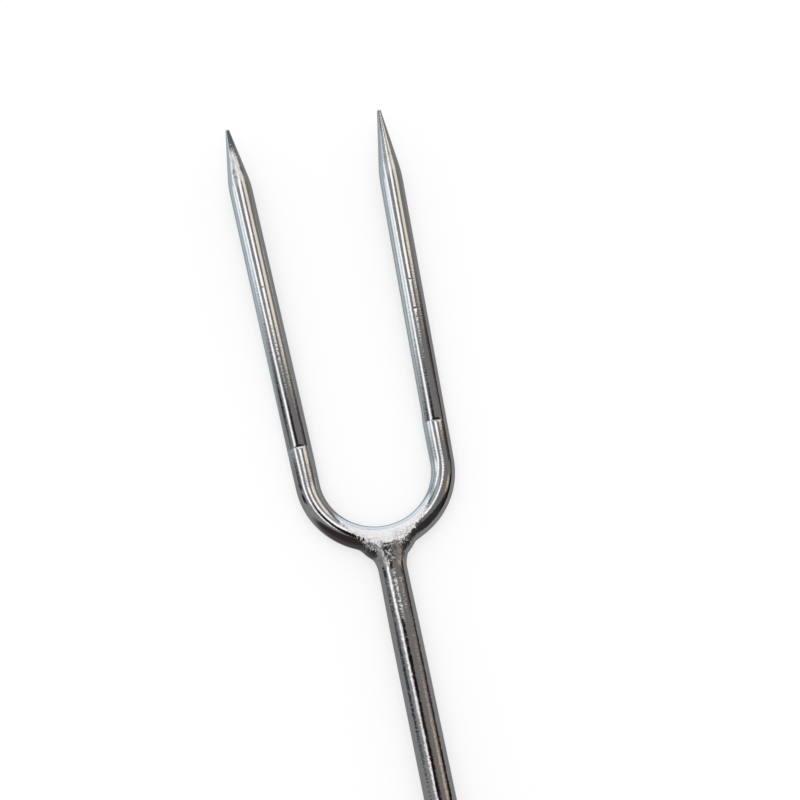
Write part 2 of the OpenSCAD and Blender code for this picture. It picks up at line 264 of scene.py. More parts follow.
class Wire:
    """A node's output, on which shader maths is written as Python."""

    def __init__(self, tree, socket=None):
        self.tree = tree
        self.socket = socket

    def node(self, kind, settings=None, inputs=None, out=0):
        """Adds a node, sets it, feeds its sockets by name or number, and gives one of its outputs."""
        node = self.tree.nodes.new(kind)
        for name, value in (settings or {}).items():
            setattr(node, name, value)
        for name, value in (inputs or {}).items():
            if isinstance(value, Wire):
                self.tree.links.new(value.socket, node.inputs[name])
            else:
                node.inputs[name].default_value = value
        return Wire(self.tree, node.outputs[out])

    def math(self, operation, *values):
        return self.node("ShaderNodeMath", {"operation": operation}, dict(enumerate(values)))

    def __add__(self, other):
        return self.math("ADD", self, other)

    def __sub__(self, other):
        return self.math("SUBTRACT", self, other)

    def __rsub__(self, other):
        return self.math("SUBTRACT", other, self)

    def __mul__(self, other):
        return self.math("MULTIPLY", self, other)

    def __truediv__(self, other):
        return self.math("DIVIDE", self, other)

    __radd__ = __add__
    __rmul__ = __mul__

    def step(self, low, high, start=0.0, end=1.0):
        """Runs smoothly from start, where this is low, to end, where it is high."""
        return self.node("ShaderNodeMapRange", {"interpolation_type": "SMOOTHSTEP"},
                         {"Value": self, "From Min": low, "From Max": high,
                          "To Min": start, "To Max": end})

    def mix(self, first, second):
        """Blends two colours by this, from the first at 0 to the second at 1."""
        return self.node("ShaderNodeMix", {"data_type": "RGBA"}, {0: self, 6: first, 7: second}, 2)

    def part(self, axis):
        """One axis of a vector."""
        return self.node("ShaderNodeSeparateXYZ", {}, {0: self}, axis)

    def vector(self, x, y, z=0.0):
        return self.node("ShaderNodeCombineXYZ", {}, {"X": x, "Y": y, "Z": z})

    def noise(self, size, stretch=(1, 1, 1), detail=2.0):
        """Noise of 0 to 1 on this vector, its blobs about size across and stretched by each axis."""
        scaled = self.node("ShaderNodeVectorMath", {"operation": "MULTIPLY"},
                           {0: self, 1: [1 / (size * along) for along in stretch]})
        return self.node("ShaderNodeTexNoise", {}, {"Vector": scaled, "Scale": 1.0, "Detail": detail})

    def bump(self, depth, below=None):
        """Tilts the surface by this height of 0 to 1, for a depth in millimetres."""
        inputs = {"Height": self, "Distance": depth * MM}
        if below is not None:
            inputs["Normal"] = below
        return self.node("ShaderNodeBump", {}, inputs)


def new_finish(name):
    """A material, its wires, and where on the drawing each point of a piece was, in millimetres."""
    material = bpy.data.materials.new(name)
    material.use_nodes = True
    wires = Wire(material.node_tree)
    return material, wires, wires.node("ShaderNodeAttribute", {"attribute_name": "drawn"}, out=1)


def set_surface(material, sockets):
    """Sets or feeds the sockets of the material's own shader."""
    shader = material.node_tree.nodes["Principled BSDF"]
    for name, value in sockets.items():
        if isinstance(value, Wire):
            material.node_tree.links.new(value.socket, shader.inputs[name])
        else:
            shader.inputs[name].default_value = value


CHROME = (0.8, 0.8, 0.81, 1)


def drawn_plating(drawn, lines, waves, ripples, rough):
    """Normal and roughness of plated drawn rod: die lines along it, long waves, ripples, a few pits."""
    normal = drawn.noise(0.3, (80, 1, 1), 3.0).bump(lines)
    normal = drawn.noise(1.6, (5, 1, 1)).bump(waves, normal)
    normal = drawn.noise(0.36, (1, 1.6, 1.6), 1.0).bump(ripples, normal)
    pits = drawn.noise(0.35, (1, 1, 1), 1.0).step(0.74, 0.8, 1, 0)
    dull = drawn.noise(4, (4, 1, 1), 4.0).step(0.4, 0.72, rough, 3 * rough)
    return pits.bump(0.01, normal), dull


# Round the joint with the shaft the plating is frosted in a band over the front, ragged at its edges
FROST_HALF = 13
FROST_WHITE = (0.95, 0.915, 0.91, 1)
GROUND_WHITE = (0.95, 0.95, 0.95, 1)


def head_chrome(name):
    """Plating of the head: frosted in a band at the joint, and scratched across its ground points."""
    material, wires, drawn = new_finish(name)
    normal, dull = drawn_plating(drawn, 0.004, 0.02, 0.012, 0.035)
    along = wires.math("ABSOLUTE", drawn.part("X")) + drawn.noise(1.3, (1, 1, 1), 3.0) * 5 - 2.5
    strands = drawn.noise(0.5, (1, 5, 5), 3.0) * 2.4 - 1.2
    lower = along.step(2, FROST_HALF, 1.5, -1.1)
    frost = along.step(FROST_HALF, FROST_HALF - 2.5)
    frost = frost * (drawn.part("Y") + strands - lower).step(0.2, -0.2)
    frost = frost * (drawn.part("Y") + strands * 0.3).step(-1.75, -1.35) * drawn.part("Z").step(0.5, 1.2)
    ground = wires.node("ShaderNodeAttribute", {"attribute_name": "ground"}, out=2)
    scuffed = ground * drawn.noise(0.9, (2, 1.2, 1.2), 4.0).step(0.22, 0.6)
    pebbles = drawn.noise(0.3, (1, 1.4, 1.4), 3.0)
    normal = (pebbles * frost).bump(0.1, normal)
    coarse = along.step(8, 5) * (drawn.part("Y") - lower).step(-0.5, 0.3) * drawn.part("Y").step(8, 5.5)
    normal = (drawn.noise(0.55, (1, 1.8, 1), 3.0) * coarse).bump(0.16, normal)
    normal = (drawn.noise(0.35, (1, 3, 3), 3.0) * scuffed).bump(0.06, normal)
    mottled = drawn.noise(0.8, (1, 1, 1), 4.0).step(0.3, 0.7, 0.72, 1)
    mottled = mottled * drawn.noise(0.42, (1, 1.3, 1.3), 1.0).step(0.34, 0.5, 0.6, 1)
    white = scuffed.mix(CHROME, GROUND_WHITE)
    set_surface(material, {
        "Base Color": (frost * mottled).mix(white, FROST_WHITE), "Metallic": 1 - frost * mottled * 0.72 - scuffed * 0.5,
        "Roughness": dull + frost * 0.3 + scuffed * 0.15 + coarse * 0.06, "Normal": normal})
    return material


head.data.materials.append(head_chrome("head_chrome"))


# Shaft
# A drawn rod of 7 mm, plated like the head and dressed a little thinner behind the weld. Its hidden end
# is turned down to a tang that runs through the grip, threaded for a nut and the end cap.
SHAFT_R = 3.5
NECK_R = 3.4
NECK_END = -9.0
NECK_LEN = 14
SHAFT_FRONT = -1.1
WELD_BEVEL = 1.3
DRESSED_SHARE = 0.15
DRESSED_REAR = -19.0
DRESSED_FRONT = -2.0
SHAFT_END = -215.7
TANG_R = 2.5
TANG_END = -355.9
THREAD_START = -338
THREAD_PITCH = 0.8
THREAD_DEPTH = 0.22


def shaft_outline():
    """Places along the shaft and its radius there, from the weld to the tang's end."""
    x = SHAFT_FRONT
    while x > SHAFT_END:
        bevel = WELD_BEVEL * smooth(NECK_END - 1, SHAFT_FRONT, x)
        yield x, NECK_R - bevel + (SHAFT_R - NECK_R) * smooth(NECK_END, NECK_END - NECK_LEN, x)
        x -= 0.8
    yield SHAFT_END, SHAFT_R - 0.3
    yield SHAFT_END, TANG_R
    x = THREAD_START
    while x > TANG_END:
        yield x, TANG_R
        yield x - THREAD_PITCH / 2, TANG_R - THREAD_DEPTH
        x -= THREAD_PITCH
    yield TANG_END, TANG_R - THREAD_DEPTH


def dressed_down(x):
    """Share of the shaft's height that is left where its end is dressed down towards the bend."""
    return 1 - DRESSED_SHARE * min(max((x - DRESSED_REAR) / (DRESSED_FRONT - DRESSED_REAR), 0), 1)


def straight_rod():
    """The shaft, drawn ring by ring from the weld to the tang's end."""
    bm = bmesh.new()
    ring = bmesh.ops.create_circle(bm, segments=96, radius=1)["verts"]
    bmesh.ops.rotate(bm, verts=ring, matrix=Matrix.Rotation(math.radians(90), 3, "Y"))
    wide = high = 1.0
    for x, radius in shaft_outline():
        if x < SHAFT_FRONT:
            ring = ring_on(bm, ring)
        height = radius * dressed_down(x)
        for vert in ring:
            vert.co = (x, vert.co.y * radius / wide, vert.co.z * height / high)
        wide, high = radius, height
    bmesh.ops.holes_fill(bm, edges=bm.edges)
    return finished("shaft_rod", bm, math.radians(40))


shaft = straight_rod()
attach(shaft, "fork")
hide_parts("shaft")

shaft_chrome, wires, drawn = new_finish("shaft_chrome")
normal, dull = drawn_plating(drawn, 0.004, 0.03, 0.032, 0.04)
set_surface(shaft_chrome, {"Base Color": CHROME, "Metallic": 1.0, "Roughness": dull, "Normal": normal})
shaft.data.materials.append(shaft_chrome)


# Weld
# The steel laid in where the shaft's bevelled end meets the bend, ground back to a rounded web on both
# sides, the webs dressed flat on their faces, and plated over with the rest.
FILLET_R = 7.2
WEB_R = 2.85
SADDLE_R = 3.3
SADDLE_HALF = 2.6
WELD_BLEND = 1.4
WEB_BLEND = 0.3
WELD_PROUD = 0.01
WELD_SUNK = 0.05
WELD_HALF = 9.5
WELD_REAR = -12.5
WELD_GRAIN = 0.33
DRESSED_Z = 2.76
DRESSED_HALF = 1.9
DRESSED_BLEND = 0.4


def fillet_centre(side):
    """Centre of the web's round outline between the shaft and one leg."""
    y = side * (NECK_R + FILLET_R - 0.05)
    reach = BEND_R + WEB_R + FILLET_R
    return Vector((BEND_R - math.sqrt(reach ** 2 - (y + BEND_RIGHT_BY) ** 2), y, 0))


bend_centre = Vector((BEND_R, -BEND_RIGHT_BY, 0))
webs = {side: fillet_centre(side) for side in (LEFT, RIGHT)}


def off_bar(point, centre, radius, bar_r, start, end):
    """How far a point lies off a round bar bent about a centre, from a start angle to an end."""
    angle = min(max(math.atan2(point.y - centre.y, point.x - centre.x), start), end)
    line = centre + radius * Vector((math.cos(angle), math.sin(angle), 0))
    return (point - line).length - bar_r


def web_ends(side):
    towards_bend = bend_centre - webs[side]
    return sorted((math.atan2(towards_bend.y, towards_bend.x), math.radians(-90) * side))


def off_weld(point):
    """How far a point lies off the weld and the rods that run into it."""
    across = math.hypot(point.x - bend_centre.x, point.y - bend_centre.y) - BEND_R
    off = math.hypot(across, point.z) - BEND_ROD_R
    blend = WELD_BLEND * smooth(-1.5, 1, across) + 0.01
    height = point.z / dressed_down(point.x)
    neck = Vector((max(point.x - SHAFT_FRONT, 0), point.y, height)).length - NECK_R
    aside = max(abs(point.y) - SADDLE_HALF, 0)
    saddle = Vector((point.x - SHAFT_FRONT, aside, height)).length
    for side in webs:
        web = off_bar(point, webs[side], FILLET_R + WEB_R, WEB_R, *web_ends(side))
        off = melt(off, web, min(blend, WEB_BLEND))
    for near in (neck, saddle - SADDLE_R):
        off = melt(off, near, min(blend, WELD_BLEND * smooth(-8, -2, point.x) + 0.05))
    crest = DRESSED_Z + 1.2 * smooth(DRESSED_HALF + 0.5, DRESSED_HALF - 0.5, abs(point.y))
    if across > 0:
        for level in (point.z, -point.z):
            off = -melt(-off, crest - level, DRESSED_BLEND)
    rim = max(smooth(WELD_HALF - 3, WELD_HALF, abs(point.y + BEND_RIGHT_BY)),
              smooth(WELD_REAR + 3, WELD_REAR, point.x))
    return off - WELD_PROUD + (WELD_PROUD + WELD_SUNK) * rim


def weld_skin():
    """Two crossed bars, skinned and drawn down on the weld's surface."""
    bm = bmesh.new()
    for x, y, length, turned_by in ((-5.5, 0, 14, 0), (0, 0, 20, 90)):
        bar = bmesh.ops.create_cone(bm, cap_ends=True, segments=24, radius1=2.6, radius2=2.6, depth=length)
        bmesh.ops.rotate(bm, verts=bar["verts"], matrix=Matrix.Rotation(math.radians(90), 3, "Y"))
        bmesh.ops.rotate(bm, verts=bar["verts"], matrix=Matrix.Rotation(math.radians(turned_by), 3, "Z"))
        bmesh.ops.translate(bm, verts=bar["verts"], vec=(x, y, 0))
    blank = bpy.data.meshes.new("weld_blank")
    bm.to_mesh(blank)
    bm.free()
    lump = bpy.data.objects.new("weld_blank", blank)
    bpy.context.collection.objects.link(lump)
    skin = lump.modifiers.new("skin", "REMESH")
    skin.mode = "VOXEL"
    skin.voxel_size = WELD_GRAIN
    bm = bmesh.new()
    bm.from_object(lump, bpy.context.evaluated_depsgraph_get())
    bpy.data.objects.remove(lump)
    reach = 0.01
    for round_of_smoothing in range(4):
        for vert in bm.verts:
            for _ in range(1 if round_of_smoothing < 3 else 2):
                off = off_weld(vert.co)
                slope = Vector([off_weld(vert.co + reach * Vector(axis)) - off
                                for axis in ((1, 0, 0), (0, 1, 0), (0, 0, 1))])
                vert.co -= off * slope.normalized()
        if round_of_smoothing < 3:
            bmesh.ops.smooth_vert(bm, verts=bm.verts, factor=0.5, use_axis_x=True,
                                  use_axis_y=True, use_axis_z=True)
    drawn = bm.verts.layers.float_vector.new("drawn")
    for vert in bm.verts:
        off = vert.co - bend_centre
        vert[drawn] = (BEND_R * math.atan2(off.y, -off.x), off.xy.length - BEND_R, off.z)
    return finished("weld_web", bm)


weld = weld_skin()
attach(weld, "fork")
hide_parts("yoke_weld")

weld.data.materials.append(head_chrome("weld_chrome"))


# Bolster
# A turned steel collar, plated and pressed on the shaft, that stops the ferrule. Its edge is a bead.
BOLSTER_FRONT = -202.9
BOLSTER_LEN = 5
BOLSTER_R = 7
BOLSTER_BEAD_R = 1.25
PRESS_GAP = 0.02
EDGE_ANGLE = math.radians(25)
TURN_STEPS = 128


def arc(centre_x, centre_r, radius, start, end, steps):
    """Points of a round in an outline, by angle from the grip-to-tips line towards larger radius."""
    for step in range(steps + 1):
        angle = math.radians(start + (end - start) * step / steps)
        yield centre_x + radius * math.cos(angle), centre_r + radius * math.sin(angle)


def turned_mesh(outline, rounding=0.0, closed=True):
    """Turns an outline of places and radii about the shaft's line, and rounds its sharp edges."""
    bm = bmesh.new()
    points = [bm.verts.new((x, 0, radius)) for x, radius in outline]
    nexts = points[1:] + points[:1] if closed else points[1:]
    lines = [bm.edges.new(pair) for pair in zip(points, nexts)]
    bmesh.ops.spin(bm, geom=points + lines, cent=(0, 0, 0), axis=(1, 0, 0),
                   angle=math.radians(360), steps=TURN_STEPS, use_merge=True)
    bmesh.ops.remove_doubles(bm, verts=bm.verts, dist=0.001)
    bmesh.ops.recalc_face_normals(bm, faces=bm.faces)
    if rounding:
        edges = [edge for edge in bm.edges if edge.is_manifold and edge.calc_face_angle() > EDGE_ANGLE]
        bmesh.ops.bevel(bm, geom=edges, offset=rounding, segments=3, profile=0.5, affect="EDGES",
                        material=-1)
    return bm


bolster_rear = BOLSTER_FRONT - BOLSTER_LEN
bolster_body_r = BOLSTER_R - BOLSTER_BEAD_R
bolster_middle = BOLSTER_FRONT - BOLSTER_LEN / 2
bore_r = SHAFT_R + PRESS_GAP
bolster = finished("bolster_collar", turned_mesh([
    (BOLSTER_FRONT, bore_r), (BOLSTER_FRONT, bolster_body_r),
    *arc(bolster_middle, bolster_body_r, BOLSTER_BEAD_R, 0, 180, 16),
    (bolster_rear, bolster_body_r), (bolster_rear, bore_r)], 0.15), math.radians(40))
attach(bolster, "fork")
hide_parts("bolster")


def turned_chrome(name, lines, rough):
    """Plating on a turned part: the tool's fine rings round it, and faint hairlines from handling."""
    material, wires, drawn = new_finish(name)
    radius = wires.math("SQRT", drawn.part("Y") * drawn.part("Y") + drawn.part("Z") * drawn.part("Z"))
    rings = wires.vector(drawn.part("X"), radius).noise(0.12, (1, 1, 1), 3.0)
    normal = rings.bump(lines)
    normal = drawn.noise(0.9).bump(0.004, normal)
    hairlines = drawn.noise(0.1, (14, 2, 1), 1.0).step(0.7, 0.8, 1, 0)
    normal = hairlines.bump(0.002, normal)
    dull = drawn.noise(3, (1, 1, 1), 4.0).step(0.4, 0.7, rough, 2.5 * rough)
    set_surface(material, {"Base Color": CHROME, "Metallic": 1.0, "Roughness": dull, "Normal": normal})
    return material


fitting_chrome = turned_chrome("fitting_chrome", 0.003, 0.08)
bolster.data.materials.append(fitting_chrome)


# Ferrule
# A cup drawn from steel sheet and plated, pushed over the front of the wood so that it can't split. Its
# rear edge is rolled outwards to a bead.
FERRULE_FRONT = bolster_rear
FERRULE_LEN = 20
FERRULE_FRONT_R = 8
FERRULE_REAR_R = 10.8
FERRULE_WALL = 0.8
FERRULE_NOSE_R = 1.2
BEAD_R = 0.9
SLIP_GAP = 0.1

grip_front = FERRULE_FRONT - FERRULE_LEN
flare = (FERRULE_REAR_R - FERRULE_FRONT_R) / FERRULE_LEN


def ferrule_r(x):
    return FERRULE_FRONT_R + flare * (FERRULE_FRONT - x)


inner_front = FERRULE_FRONT - FERRULE_WALL
ferrule = finished("front_ferrule_cup", turned_mesh([
    (FERRULE_FRONT, SHAFT_R + SLIP_GAP),
    *arc(FERRULE_FRONT - FERRULE_NOSE_R, ferrule_r(FERRULE_FRONT) - FERRULE_NOSE_R,
         FERRULE_NOSE_R, 0, 90, 8),
    (grip_front + 2 * BEAD_R + 0.35, ferrule_r(grip_front + 2 * BEAD_R + 0.35)),
    *arc(grip_front + BEAD_R, FERRULE_REAR_R, BEAD_R, 20, 180, 14),
    (grip_front, FERRULE_REAR_R - FERRULE_WALL),
    (inner_front, ferrule_r(inner_front) - FERRULE_WALL), (inner_front, SHAFT_R + SLIP_GAP)]),
    math.radians(40))
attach(ferrule, "fork")
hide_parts("front_ferrule")
ferrule.data.materials.append(fitting_chrome)


# Ferrule pin
# A steel pin of 2 mm, driven through ferrule, wood and tang and peened to a low dome at both ends.
PIN_R = 1
PIN_X = FERRULE_FRONT - 13
PIN_PROUD = 0.3
half_span = ferrule_r(PIN_X) + PIN_PROUD

bm = bmesh.new()
bmesh.ops.create_cone(bm, cap_ends=True, segments=48, radius1=PIN_R, radius2=PIN_R, depth=2 * half_span)
rims = [edge for edge in bm.edges if abs(edge.verts[0].co.z - edge.verts[1].co.z) < 0.001]
bmesh.ops.bevel(bm, geom=rims, offset=0.28, segments=5, profile=0.5, affect="EDGES", material=-1)
bmesh.ops.rotate(bm, verts=bm.verts, matrix=Matrix.Rotation(math.radians(90), 3, "X"))
bmesh.ops.translate(bm, verts=bm.verts, vec=(PIN_X, 0, 0))
pin = finished("ferrule_cross_pin", bm, math.radians(40))
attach(pin, "fork")
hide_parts("ferrule_pin")

pin_steel, wires, drawn = new_finish("pin_steel")
hammered = drawn.noise(0.5)
set_surface(pin_steel, {
    "Base Color": drawn.noise(0.8).step(0.3, 0.7).mix((0.5, 0.49, 0.47, 1), (0.62, 0.61, 0.6, 1)),
    "Metallic": 1.0, "Roughness": hammered.step(0.3, 0.7, 0.24, 0.4), "Normal": hammered.bump(0.03)})
pin.data.materials.append(pin_steel)


# Grip
# Hardwood turned on a lathe, with a belly that fills the palm, bored for the tang, stained and
# lacquered. Two grooves near each end are burnt dark with a wire.
GRIP_LEN = 118
BELLY_R = 15.5
BELLY_BEHIND = 78
WAIST_R = 11
SWEEP_R = 200
GROOVE_R = 0.8
GROOVE_DEPTH = 0.5
GROOVE_IN = 7
GROOVE_PITCH = 3.6
SKIRT_LEN = 6
CAP_R = 11.6
SKIRT_WALL = 1
RECESS_R = 6
RECESS_DEPTH = 10

grip_rear = grip_front - GRIP_LEN
wood_front = inner_front - SLIP_GAP
wood_rear = grip_rear - SKIRT_LEN
recess_floor = wood_rear + RECESS_DEPTH
belly_at = grip_front - BELLY_BEHIND
waist_at = belly_at + math.sqrt((2 * SWEEP_R) ** 2 - (2 * SWEEP_R - (BELLY_R - WAIST_R)) ** 2)
grooves = [grip_front - GROOVE_IN, grip_front - GROOVE_IN - GROOVE_PITCH,
           grip_rear + GROOVE_IN, grip_rear + GROOVE_IN + GROOVE_PITCH]


def swell(x):
    """Radius of the grip without its grooves: a long arc over the belly and one into the waist."""
    if x < (belly_at + waist_at) / 2:
        return BELLY_R - SWEEP_R + math.sqrt(SWEEP_R ** 2 - (x - belly_at) ** 2)
    return WAIST_R + SWEEP_R - math.sqrt(SWEEP_R ** 2 - (x - waist_at) ** 2)


def grip_outline():
    """The outside of the wood between the fittings, close together at the grooves."""
    x = grip_front
    while x > grip_rear:
        nearest = min(grooves, key=lambda groove: abs(groove - x))
        away = abs(x - nearest)
        radius = swell(x)
        if away < GROOVE_R:
            floor_r = swell(nearest) - GROOVE_DEPTH + GROOVE_R - math.sqrt(GROOVE_R ** 2 - away ** 2)
            radius = min(radius, floor_r)
        yield x, radius
        x -= 0.1 if away < GROOVE_R + 0.2 else 0.8
    yield grip_rear, swell(grip_rear)


shaft_bore_r = SHAFT_R + SLIP_GAP
tang_bore_r = TANG_R + SLIP_GAP
cup_r = CAP_R - SKIRT_WALL - SLIP_GAP
grip = finished("wooden_grip", turned_mesh([
    (wood_front, shaft_bore_r), (wood_front, ferrule_r(wood_front) - FERRULE_WALL - SLIP_GAP),
    (grip_front, FERRULE_REAR_R - FERRULE_WALL - SLIP_GAP),
    *grip_outline(),
    (grip_rear, cup_r), (wood_rear, cup_r), (wood_rear, RECESS_R), (recess_floor, RECESS_R),
    (recess_floor, tang_bore_r), (SHAFT_END, tang_bore_r), (SHAFT_END, shaft_bore_r)]),
    math.radians(40))
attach(grip, "fork")
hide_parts("handle_grip")

EARLY_WOOD = (0.3, 0.145, 0.062, 1)
LATE_WOOD = (0.17, 0.072, 0.029, 1)
BURNT = (0.028, 0.014, 0.009, 1)
PITH = (26, -34)
RING_WIDTH = 2.6

grip_wood, wires, drawn = new_finish("lacquered_wood")
off_y = drawn.part("Y") - PITH[0]
off_z = drawn.part("Z") - PITH[1]
growth = wires.math("SQRT", off_y * off_y + off_z * off_z) + drawn.noise(30, (5, 1, 1)) * 9
growth = growth + drawn.noise(7, (8, 1, 1)) * 2.6
late = wires.math("FRACT", growth / RING_WIDTH)
late = late.step(0.2, 0.95) * late.step(1.0, 0.96) * drawn.noise(5, (9, 1, 1)).step(0.3, 0.68, 0.25, 1)
fibres = drawn.noise(0.5, (40, 1, 1), 3.0)
wood = (late * 0.75 + fibres * 0.5 - 0.2).mix(EARLY_WOOD, LATE_WOOD)
wood = drawn.noise(14, (2.5, 1, 1), 3.0).step(0.35, 0.7, 0, 0.35).mix(wood, LATE_WOOD)
pores = drawn.noise(0.22, (16, 1, 1), 1.0).step(0.62, 0.7)
wood = (pores * 0.6).mix(wood, BURNT)
off_grooves = [wires.math("ABSOLUTE", drawn.part("X") - groove) for groove in grooves]
nearest = off_grooves[0]
for off in off_grooves[1:]:
    nearest = wires.math("MINIMUM", nearest, off)
burnt = nearest.step(GROOVE_R, GROOVE_R * 0.45)
worn = drawn.noise(11, (2, 1, 1), 4.0).step(0.45, 0.7)
normal = drawn.noise(2.2, (6, 1, 1)).bump(0.05, (1 - pores).bump(0.03, fibres.bump(0.02)))
set_surface(grip_wood, {
    "Base Color": burnt.mix(wood, BURNT), "Roughness": worn * 0.14 + 0.36, "Normal": normal,
    "Coat Weight": 0.55 - worn * 0.3 - burnt * 0.2, "Coat Roughness": 0.16})
grip.data.materials.append(grip_wood)


# Washer and nut
# A pressed washer on the recess's floor, and a hexagon nut that draws the wood up against the ferrule.
# Both are zinc plated steel, and stay as the frame has them, under the end cap.
zinc, wires, _ = new_finish("zinc_plate")
places = wires.node("ShaderNodeTexCoord", out=3)
spangle = places.noise(0.9 * MM, (1, 1, 1), 3.0)
scuffs = places.noise(0.25 * MM, (1, 6, 1))
set_surface(zinc, {
    "Base Color": spangle.step(0.3, 0.7).mix((0.5, 0.52, 0.54, 1), (0.66, 0.66, 0.62, 1)),
    "Metallic": 1.0, "Roughness": spangle.step(0.3, 0.7, 0.28, 0.46), "Normal": scuffs.bump(0.02)})
for node in ("rear_washer", "tang_nut"):
    frame["nodes"][node].material_slots[0].material = zinc


# End cap
# A domed cap of plated steel with a flat lug brazed on, screwed on the tang's end over the recess. The
# lug is cut from strip and drilled for the ring, its edges broken.
DOME_H = 8
LUG_T = 3.2
LUG_R = 4
LUG_HOLE_R = 1.65

dome_r = (CAP_R ** 2 + DOME_H ** 2) / (2 * DOME_H)
dome_pole = wood_rear - DOME_H
dome_edge = math.degrees(math.asin(CAP_R / dome_r))
cap_floor = wood_rear - SLIP_GAP
thread_r = TANG_R + PRESS_GAP
dome = list(arc(dome_pole + dome_r, 0, dome_r, 180, 180 - dome_edge, 24))[1:]
cap = finished("end_cap_dome", turned_mesh([
    (dome_pole, 0.0), *dome,
    (wood_rear + 1.2, CAP_R), (wood_rear + 1.35, CAP_R - 0.25), (wood_rear + 1.65, CAP_R - 0.25),
    (wood_rear + 1.8, CAP_R), (grip_rear - 0.2, CAP_R), (grip_rear, CAP_R - 0.2),
    (grip_rear, CAP_R - SKIRT_WALL), (cap_floor, CAP_R - SKIRT_WALL), (cap_floor, thread_r),
    (TANG_END - SLIP_GAP, thread_r), (TANG_END - SLIP_GAP, 0.0)], closed=False), math.radians(30))

bm = bmesh.new()
outside = bmesh.ops.create_circle(bm, segments=64, radius=LUG_R)["verts"]
for vert in outside:
    if vert.co.x > 0.001:
        vert.co.x += dome_pole + DOME_H / 2 - LUG_HOLE_X
bmesh.ops.create_circle(bm, segments=64, radius=LUG_HOLE_R)
plate = bmesh.ops.bridge_loops(bm, edges=bm.edges[:])["faces"]
grown = bmesh.ops.extrude_face_region(bm, geom=plate)["geom"]
bmesh.ops.translate(bm, verts=[item for item in grown if isinstance(item, bmesh.types.BMVert)],
                    vec=(0, 0, LUG_T))
bmesh.ops.recalc_face_normals(bm, faces=bm.faces)
edges = [edge for edge in bm.edges if edge.calc_face_angle(0) > math.radians(60)]
bmesh.ops.bevel(bm, geom=edges, offset=0.4, segments=4, profile=0.5, affect="EDGES", material=-1)
bmesh.ops.translate(bm, verts=bm.verts, vec=(0, 0, -LUG_T / 2))
bmesh.ops.rotate(bm, verts=bm.verts, matrix=Matrix.Rotation(math.radians(90), 3, "X"))
bmesh.ops.translate(bm, verts=bm.verts, vec=(LUG_HOLE_X, 0, 0))
lug = finished("end_cap_lug", bm, math.radians(40))
for piece in (cap, lug):
    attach(piece, "fork")
    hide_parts("end_cap")
    piece.data.materials.append(fitting_chrome)


# Hanging ring
# A ring of 2.5 mm wire, bent round through the lug's hole and closed end to end. It lies with its far
# side on the table.
RING_R = 12.5
WIRE_R = 1.25
JOINT_GAP = math.radians(1.2)
REST_GAP = 0.05
RING_STEPS = 160

hole_height = ring_swing["pos_m"][2] / MM
ring_fall = math.asin((hole_height - WIRE_R - REST_GAP) / (2 * RING_R))
bm = bmesh.new()
wire = bmesh.ops.create_circle(bm, segments=32, radius=WIRE_R)["verts"]
bmesh.ops.rotate(bm, verts=wire, matrix=Matrix.Rotation(math.radians(90), 3, "X"))
bmesh.ops.translate(bm, verts=wire, vec=(RING_R, 0, 0))
bmesh.ops.rotate(bm, verts=wire, matrix=Matrix.Rotation(math.radians(140), 3, "Z"))
bmesh.ops.spin(bm, geom=wire + bm.edges[:], cent=(0, 0, 0), axis=(0, 0, 1),
               angle=math.radians(360) - JOINT_GAP, steps=RING_STEPS)
bmesh.ops.holes_fill(bm, edges=bm.edges)
bmesh.ops.recalc_face_normals(bm, faces=bm.faces)
ends = [edge for edge in bm.edges if edge.calc_face_angle(0) > math.radians(60)]
bmesh.ops.bevel(bm, geom=ends, offset=0.15, segments=2, profile=0.5, affect="EDGES", material=-1)
bmesh.ops.translate(bm, verts=bm.verts, vec=(-RING_R, 0, 0))
bmesh.ops.rotate(bm, verts=bm.verts, matrix=Matrix.Rotation(-pitch - ring_fall, 3, "Y"))
bmesh.ops.translate(bm, verts=bm.verts, vec=(LUG_HOLE_X, 0, 0))
ring = finished("hanging_wire_ring", bm, math.radians(40))
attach(ring, "ring")
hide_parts("hanging_ring")
ring.data.materials.append(turned_chrome("ring_chrome", 0.002, 0.1))


# Studio
# A plain pale floor under soft light, in a white room. What the metal mirrors is the place in which the
# fork was laid out: a grey table, tall windows beside it, and dark shapes standing over it.
def stage_mesh(name, bm):
    mesh = bpy.data.meshes.new(name)
    bm.to_mesh(mesh)
    bm.free()
    piece = bpy.data.objects.new(name, mesh)
    bpy.context.collection.objects.link(piece)
    return piece


def grey(level):
    return (level, level, level, 1)


def in_view(wires):
    """1 for what the camera sees, also by a mirror or through glass, and 0 for the light it gives."""
    seen = wires.node("ShaderNodeLightPath", out="Is Camera Ray")
    for ray in ("Is Glossy Ray", "Is Transmission Ray"):
        seen = wires.math("MAXIMUM", seen, wires.node("ShaderNodeLightPath", out=ray))
    return seen


FLOOR_R = 12
FLOOR_WHITE = 0.6

bm = bmesh.new()
bmesh.ops.create_circle(bm, cap_ends=True, segments=96, radius=FLOOR_R)
floor = stage_mesh("floor", bm)
floor.visible_glossy = False
floor_paint, wires, _ = new_finish("floor_paint")
set_surface(floor_paint, {"Base Color": grey(0.94), "Roughness": 1.0, "Specular IOR Level": 0.0})
nodes = floor_paint.node_tree.nodes
whitened = wires.node("ShaderNodeMixShader", {}, {
    0: in_view(wires) * FLOOR_WHITE, 1: Wire(wires.tree, nodes["Principled BSDF"].outputs[0]),
    2: wires.node("ShaderNodeEmission", {}, {"Color": grey(1)})})
wires.tree.links.new(whitened.socket, nodes["Material Output"].inputs[0])
floor.data.materials.append(floor_paint)

